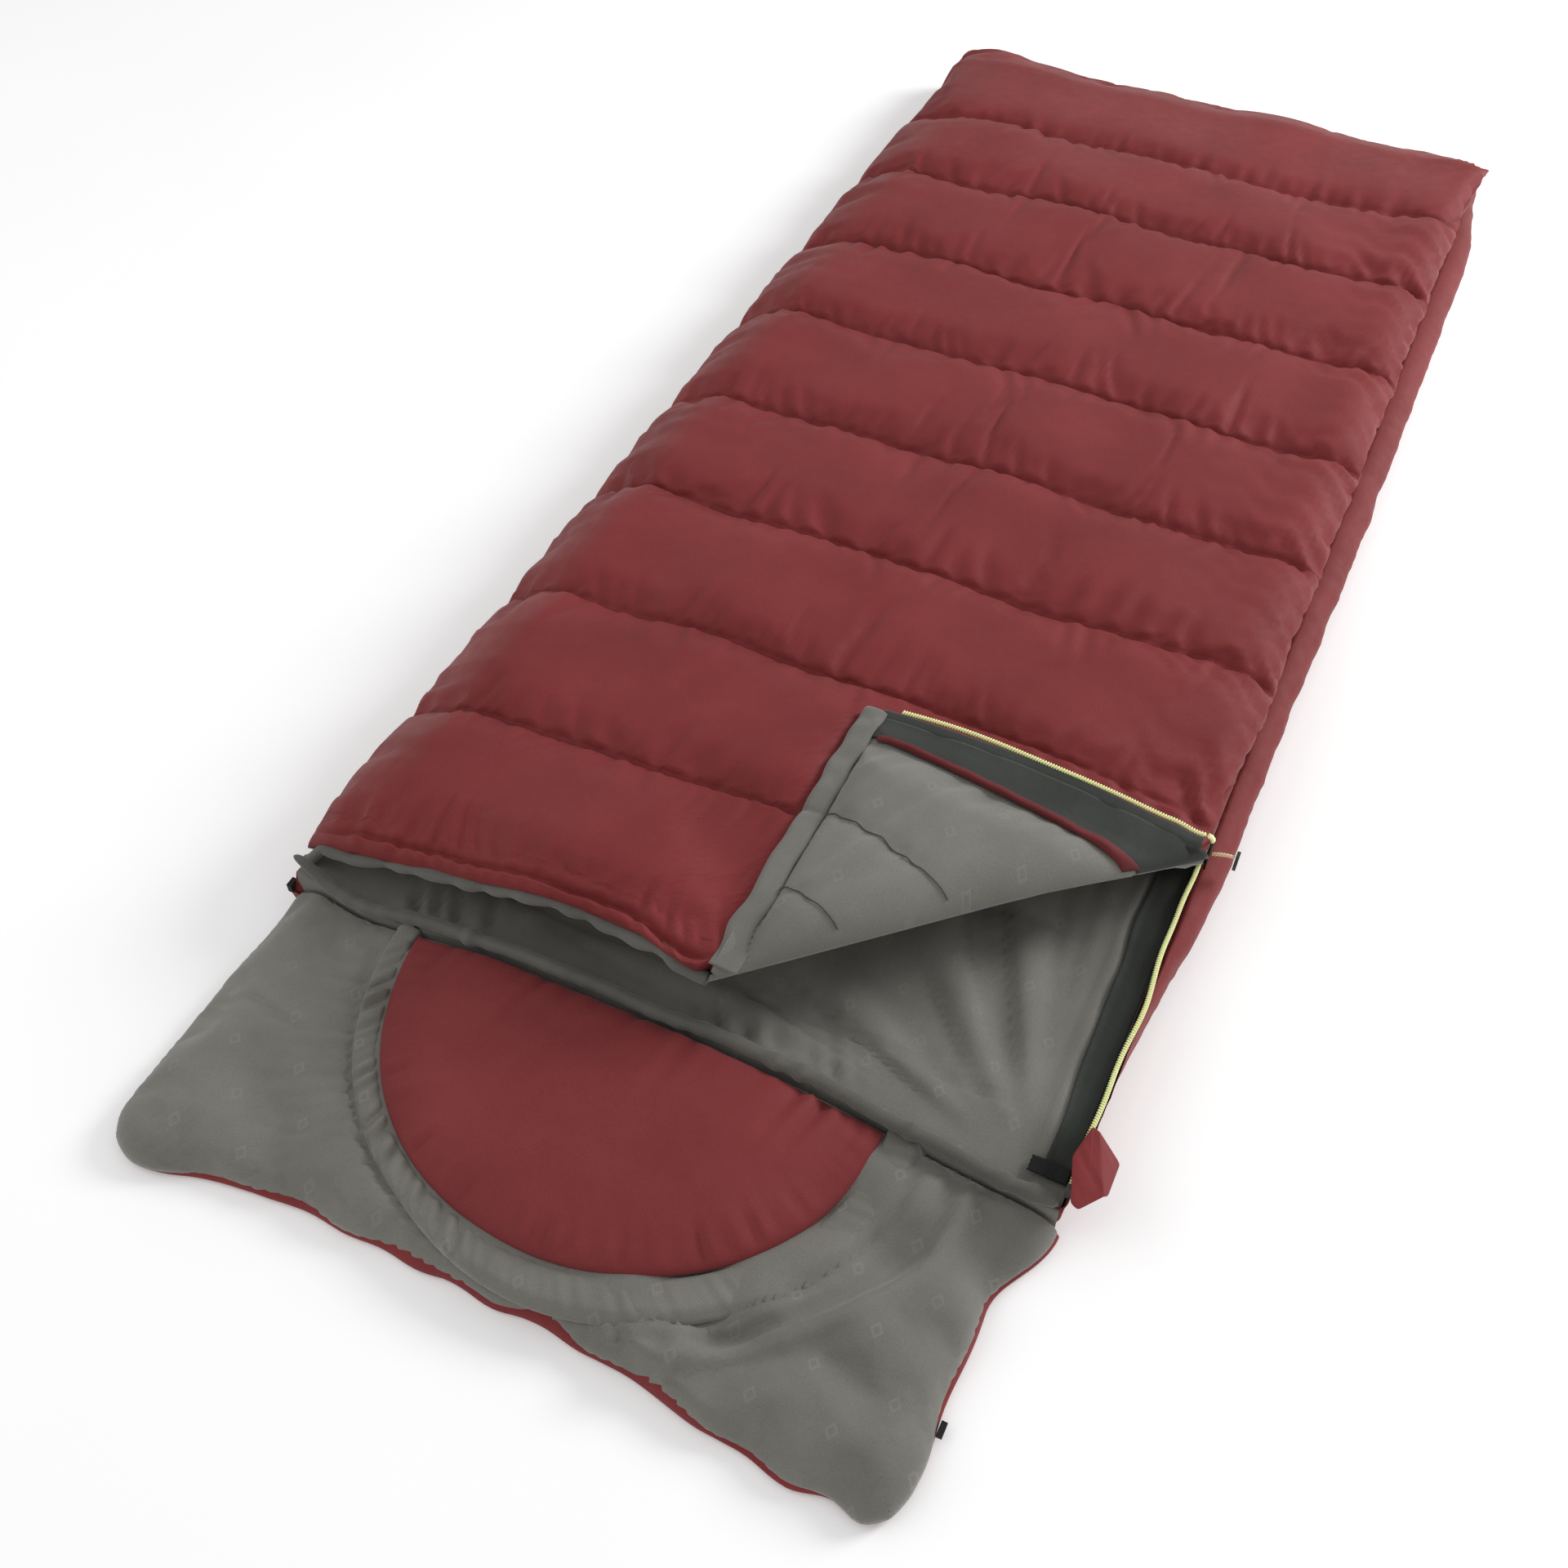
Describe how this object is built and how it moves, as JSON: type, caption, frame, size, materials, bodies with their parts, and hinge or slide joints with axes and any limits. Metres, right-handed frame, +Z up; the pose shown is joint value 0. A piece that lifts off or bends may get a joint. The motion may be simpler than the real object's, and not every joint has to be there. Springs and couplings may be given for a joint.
{
  "type": "rectangular sleeping bag",
  "caption": "Rectangular quilted sleeping bag with a padded head section, a side and foot zip, and one head corner of the upper quilt folded back.",
  "frame": {"origin": "on the ground under the lower quilt, midway between the head edge and the foot and midway across the quilt", "axes": "+X across the bag to the zip side, +Y along the bag to the foot, +Z up"},
  "size_m": [0.8862, 2.2, 0.2145],
  "materials": {
    "shell_fabric": "woven polyester, slight sheen",
    "pillow_fabric": "woven polyester",
    "liner_fabric": "brushed polyester, matte",
    "fibre_fill": "loose fibre batt",
    "zip_tape": "woven tape",
    "zip_coil": "moulded coil",
    "zip_plastic": "moulded",
    "slider_metal": "black lacquer",
    "pull_cord": "braided cord",
    "webbing": "folded webbing"
  },
  "bodies": {
    "base": {"base_shell": "shell_fabric", "base_fill": "fibre_fill", "base_liner": "liner_fabric", "neck_roll": "liner_fabric", "base_zip_guard": "zip_tape", "hook_patch": "zip_tape", "base_zip_tape": "zip_tape", "base_zip_coil": "zip_coil", "zip_top_stop": "zip_plastic", "zip_end_box": "zip_plastic", "neck_tab": "webbing", "foot_tab": "webbing"},
    "hood": {"hood_shell": "shell_fabric", "hood_fill": "fibre_fill", "hood_liner": "liner_fabric", "pillow_pad": "fibre_fill", "pillow_panel": "pillow_fabric", "pillow_band": "liner_fabric", "hood_tab": "webbing"},
    "cover": {"cover_shell": "shell_fabric", "cover_fill": "fibre_fill", "cover_liner": "liner_fabric", "cover_hem": "liner_fabric", "cover_zip_tape": "zip_tape", "cover_zip_coil": "zip_coil", "cover_baffle": "shell_fabric"},
    "corner": {"corner_shell": "shell_fabric", "corner_fill": "fibre_fill", "corner_liner": "liner_fabric", "corner_hem": "liner_fabric", "corner_zip_guard": "zip_tape", "corner_zip_tape": "zip_tape", "corner_zip_coil": "zip_coil", "corner_baffle": "shell_fabric"},
    "slider": {"zip_slider": "slider_metal"},
    "pull": {"pull_cord": "pull_cord", "pull_grip": "zip_plastic"},
    "tab": {"zip_tab": "shell_fabric"}
  },
  "joints": [
    {"name": "cover_open", "type": "hinge", "parent": "base", "child": "cover", "pos_m": [-0.425, 0, 0.066], "axis": [0, -1, 0], "range_deg": [0, 165]},
    {"name": "corner_unfold", "type": "hinge", "parent": "cover", "child": "corner", "pos_m": [0.225, -0.5935, 0.151], "axis": [0.7063, 0.7063, -0.0471], "range_deg": [0, 181]},
    {"name": "hood_raise", "type": "hinge", "parent": "base", "child": "hood", "pos_m": [0, -0.8, 0.045], "axis": [-1, 0, 0], "range_deg": [0, 60]},
    {"name": "slider_travel", "type": "slide", "parent": "base", "child": "slider", "axis": [0, 1, 0], "range_m": [-0.31, 1.375]},
    {"name": "pull_swing", "type": "hinge", "parent": "slider", "child": "pull", "pos_m": [0.4106, -0.38, 0.0756], "axis": [0, -1, 0], "range_deg": [0, 60]},
    {"name": "tab_flip", "type": "hinge", "parent": "base", "child": "tab", "pos_m": [0.411, -0.752, 0.077], "axis": [0, -1, 0], "range_deg": [0, 188]}
  ]
}
